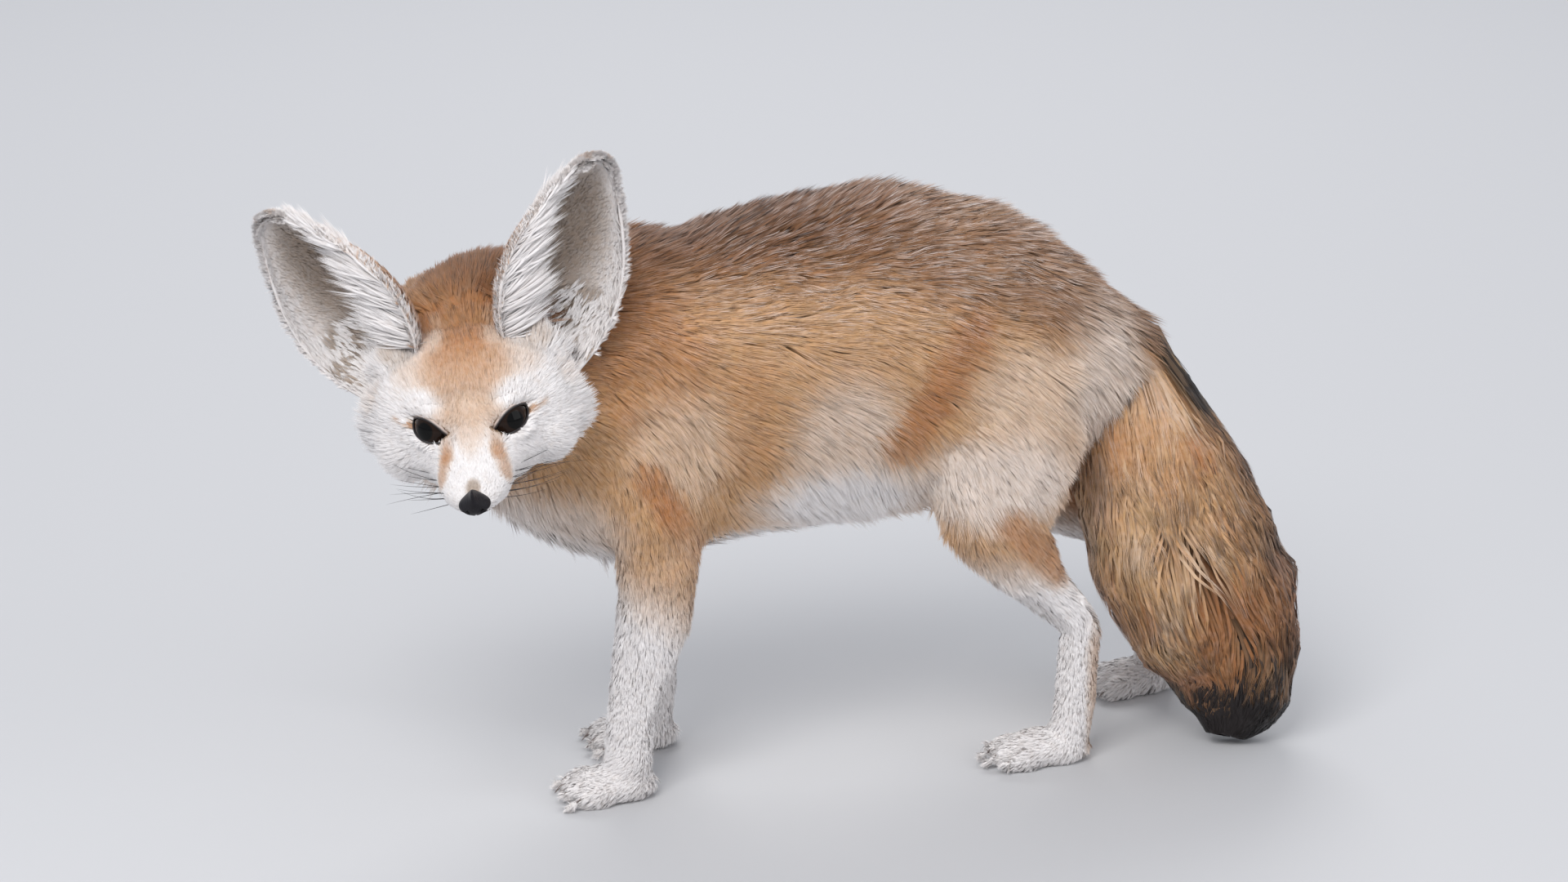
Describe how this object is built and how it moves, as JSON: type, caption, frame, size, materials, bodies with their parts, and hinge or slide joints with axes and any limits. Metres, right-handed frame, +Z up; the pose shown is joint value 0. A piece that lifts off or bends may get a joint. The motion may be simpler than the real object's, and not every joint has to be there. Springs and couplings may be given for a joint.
{
  "type": "fennec fox model",
  "caption": "Life-size still model of a standing fennec fox with large cupped ears, head turned to its left, and a bushy hanging tail.",
  "frame": {"origin": "on the floor, at the middle of the bottom of the bounding box", "axes": "+Z up; the trunk lies along X with the head at -X and the tail at +X; the animal's left side is -Y"},
  "size_m": [0.403, 0.1604, 0.2611],
  "materials": {
    "sand_fur": "soft sandy coat, grizzled along the back",
    "white_fur": "soft white to cream coat",
    "tail_fur": "long buff-orange hair with dark tips",
    "eye": "dark brown, wet gloss",
    "nose_skin": "black, moist, finely pebbled",
    "claw": "dark horn, semi-gloss",
    "whisker": "black hair"
  },
  "bodies": {
    "root": {"head": "white_fur", "neck": "sand_fur", "torso": "sand_fur", "left_ear": "white_fur", "right_ear": "white_fur", "left_eye": "eye", "right_eye": "eye", "nose": "nose_skin", "left_fore_leg": "white_fur", "right_fore_leg": "white_fur", "left_hind_leg": "white_fur", "right_hind_leg": "white_fur", "left_fore_paw": "white_fur", "right_fore_paw": "white_fur", "left_hind_paw": "white_fur", "right_hind_paw": "white_fur", "tail_base": "tail_fur", "tail_middle": "tail_fur", "tail_tip": "tail_fur"}
  },
  "joints": []
}
